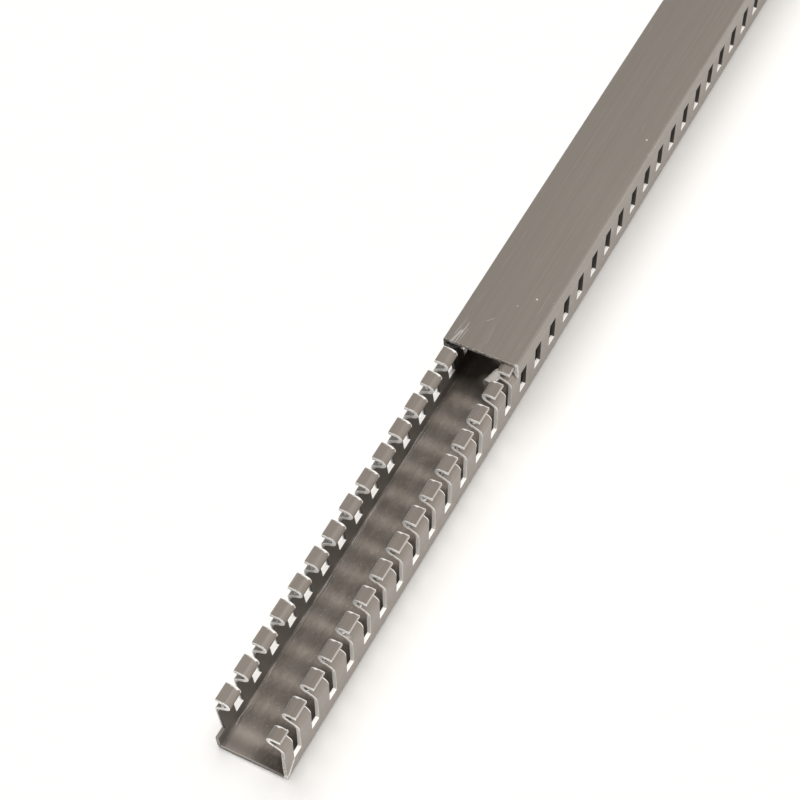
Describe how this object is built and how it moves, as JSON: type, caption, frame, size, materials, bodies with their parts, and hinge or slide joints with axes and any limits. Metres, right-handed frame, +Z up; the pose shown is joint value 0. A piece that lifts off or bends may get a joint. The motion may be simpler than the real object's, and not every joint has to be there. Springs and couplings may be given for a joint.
{
  "type": "slotted wire duct",
  "caption": "Length of grey slotted wire duct: a channel with finger walls and hooked lips, and its clip-on cover slid part of the way back.",
  "frame": {"origin": "middle of the base's underside", "axes": "+X across the duct to the right, +Y along it away from the open front end, +Z up"},
  "size_m": [0.0316, 1.1767, 0.029],
  "materials": {
    "duct_plastic": "satin warm grey extruded PVC with whitened sheared edges",
    "cover_plastic": "satin warm grey extruded PVC with fine lengthwise streaks"
  },
  "bodies": {
    "base": {"duct_base": "duct_plastic"},
    "cover": {"duct_cover": "cover_plastic"}
  },
  "joints": [
    {"name": "cover_slide", "type": "slide", "parent": "base", "child": "cover", "axis": [0, 1, 0], "range_m": [-0.1767, 0.6]}
  ]
}
